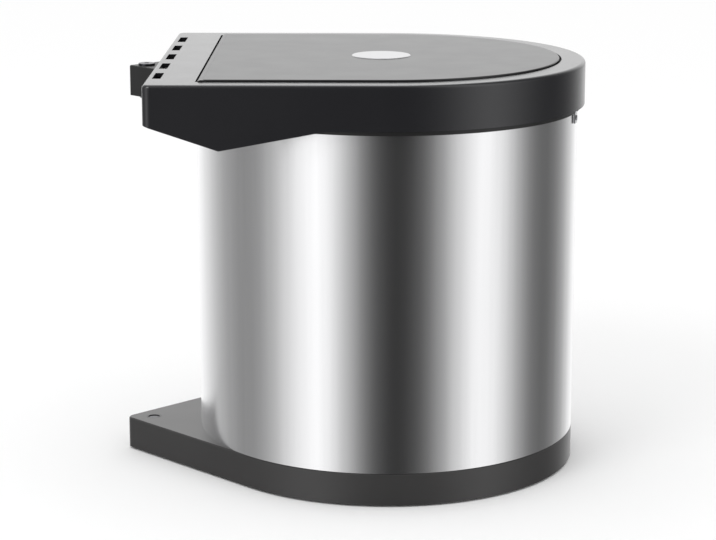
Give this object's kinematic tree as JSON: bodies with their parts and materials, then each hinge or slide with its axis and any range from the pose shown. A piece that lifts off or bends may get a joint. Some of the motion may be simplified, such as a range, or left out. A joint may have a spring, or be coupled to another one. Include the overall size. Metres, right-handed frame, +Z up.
{
  "type": "built-in trash can",
  "caption": "Swing-out cabinet bin: polished steel drum on a black base with a pivot corner, a D-shaped rim housing, a geared self-lifting lid and a lift-out inner pail.",
  "frame": {"origin": "on the floor plane under the axis of the steel bucket, at the middle of the central glide", "axes": "+Z up, +X away from the pivot corner, -Y towards the kitchen, the side that the bin swings out to"},
  "size_m": [0.3162, 0.2694, 0.2794],
  "materials": {
    "black_plastic": "satin gloss moulded black",
    "lid_plastic": "fine satin black",
    "pail_plastic": "matte dark grey",
    "polished_steel": "polished stainless",
    "zinc_steel": "bright zinc plated",
    "dark_steel": "blackened steel",
    "badge_metal": "satin anodised",
    "rubber": "matte",
    "grey_pad": "matte",
    "dark_acetal": "smooth",
    "natural_acetal": "smooth natural",
    "grip_plastic": "matte"
  },
  "bodies": {
    "cabinet_side": {"floor_pivot_plate": "zinc_steel", "lower_pivot_stud": "zinc_steel", "upper_pivot_pin": "dark_steel", "pivot_pin_clip": "zinc_steel"},
    "bin": {"base_tray": "black_plastic", "base_glides": "grey_pad", "lower_pivot_bush": "dark_acetal", "base_screws": "zinc_steel", "steel_bucket": "polished_steel", "swing_frame": "black_plastic", "arm_cover": "black_plastic", "arm_cover_screws": "zinc_steel", "upper_pivot_bushes": "dark_acetal", "idler_axle": "zinc_steel", "rim_housing": "black_plastic", "housing_screws": "zinc_steel", "lid_buffers": "rubber", "rim_clips": "zinc_steel", "hinge_pins": "zinc_steel"},
    "lid": {"lid_panel": "lid_plastic", "lid_badge": "badge_metal", "lid_seal": "rubber"},
    "idler": {"lift_idler": "natural_acetal"},
    "rack": {"lift_rack": "natural_acetal"},
    "pail": {"inner_pail": "pail_plastic"},
    "bail": {"pail_bail": "zinc_steel", "bail_grip": "grip_plastic"}
  },
  "joints": [
    {"name": "swing", "type": "hinge", "parent": "cabinet_side", "child": "bin", "pos_m": [-0.164, 0, 0], "axis": [0, 0, -1], "range_deg": [0, 90]},
    {"name": "lid_lift", "type": "hinge", "parent": "bin", "child": "lid", "pos_m": [-0.1175, 0, 0.2754], "axis": [0, -1, 0], "range_deg": [0, 76.5]},
    {"name": "idler_spin", "type": "hinge", "parent": "bin", "child": "idler", "pos_m": [-0.15, 0, 0.26], "axis": [0, 0, -1], "range_deg": [0, 41.5]},
    {"name": "rack_slide", "type": "slide", "parent": "bin", "child": "rack", "axis": [1, 0, 0], "range_m": [0, 0.00695]},
    {"name": "pail_lift", "type": "slide", "parent": "bin", "child": "pail", "axis": [0, 0, 1], "range_m": [0, 0.008]},
    {"name": "bail_lift", "type": "hinge", "parent": "pail", "child": "bail", "pos_m": [0, 0, 0.26], "axis": [0, -1, 0], "range_deg": [0, 6]}
  ],
  "couplings": [
    {"joint": "lid_lift", "follows": "swing", "ratio": 0.84615},
    {"joint": "idler_spin", "follows": "swing", "ratio": 0.45833},
    {"joint": "rack_slide", "follows": "swing", "m_per_rad": 0.0044}
  ]
}
